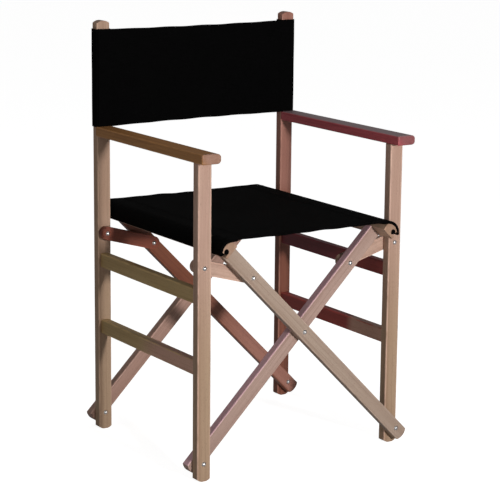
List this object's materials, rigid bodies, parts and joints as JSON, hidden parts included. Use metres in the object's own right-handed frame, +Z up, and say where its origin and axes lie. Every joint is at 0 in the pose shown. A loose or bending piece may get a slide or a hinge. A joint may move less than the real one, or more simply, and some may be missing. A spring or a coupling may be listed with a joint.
{
  "type": "folding chair",
  "caption": "Folding director's chair in light beech, with crossed folding bars, short locking links, flat armrests and a black canvas sling seat and back",
  "frame": {"origin": "on the floor, midway between the left and right posts and midway along the seat rails", "axes": "+Z is up, the sitter faces -Y, and +X is to the right of a viewer who faces the chair's front"},
  "size_m": [0.5197, 0.5, 0.87],
  "materials": {
    "beech": "clear satin lacquer",
    "dowel": "bare turned wood",
    "steel": "bright zinc plate",
    "canvas": "plain woven cotton"
  },
  "bodies": {
    "left_frame": {"left_front_post": "beech", "left_rear_post": "beech", "left_upper_rail": "beech", "left_lower_rail": "beech", "left_armrest": "beech", "left_dowels": "dowel", "left_foot_bolts": "steel", "left_link_bolts": "steel", "left_nuts": "steel", "left_washers": "steel", "back_canvas": "canvas"},
    "right_frame": {"right_front_post": "beech", "right_rear_post": "beech", "right_upper_rail": "beech", "right_lower_rail": "beech", "right_armrest": "beech", "right_dowels": "dowel", "right_foot_bolts": "steel", "right_link_bolts": "steel", "right_nuts": "steel", "right_washers": "steel"},
    "bars_a": {"bar_a_front": "beech", "bar_a_rear": "beech", "right_seat_rail": "beech", "right_rail_screws": "steel", "right_seat_rod": "dowel", "centre_bolts": "steel", "centre_nuts": "steel", "centre_washers": "steel", "right_bar_pins": "steel", "right_bar_washers": "steel", "seat_canvas": "canvas"},
    "bars_b": {"bar_b_front": "beech", "bar_b_rear": "beech", "left_seat_rail": "beech", "left_rail_screws": "steel", "left_seat_rod": "dowel", "left_bar_pins": "steel", "left_bar_washers": "steel"},
    "left_links": {"left_front_link": "beech", "left_rear_link": "beech", "left_link_pins": "steel"},
    "right_links": {"right_front_link": "beech", "right_rear_link": "beech", "right_link_pins": "steel"}
  },
  "joints": [
    {"name": "fold", "type": "hinge", "parent": "left_frame", "child": "bars_a", "pos_m": [-0.234, 0, 0.035], "axis": [0, -1, 0], "range_deg": [0, 26.84], "deforming": ["seat_canvas", "back_canvas"]},
    {"name": "scissor", "type": "hinge", "parent": "bars_a", "child": "bars_b", "pos_m": [0, 0, 0.27192], "axis": [0, -1, 0], "range_deg": [-59.29, 0]},
    {"name": "right_foot", "type": "hinge", "parent": "bars_b", "child": "right_frame", "pos_m": [0.234, 0, 0.035], "axis": [0, -1, 0], "range_deg": [0, 26.84]},
    {"name": "left_link", "type": "hinge", "parent": "left_frame", "child": "left_links", "pos_m": [-0.234, 0, 0.42769], "axis": [0, -1, 0], "range_deg": [0, 71.54]},
    {"name": "right_link", "type": "hinge", "parent": "right_frame", "child": "right_links", "pos_m": [0.234, 0, 0.42769], "axis": [0, -1, 0], "range_deg": [-71.54, 0]}
  ],
  "couplings": [
    {"joint": "scissor", "follows": "fold", "ratio": -2.2086},
    {"joint": "right_foot", "follows": "fold", "ratio": 1},
    {"joint": "left_link", "follows": "fold", "ratio": 2.6649},
    {"joint": "right_link", "follows": "fold", "ratio": -2.6649}
  ]
}
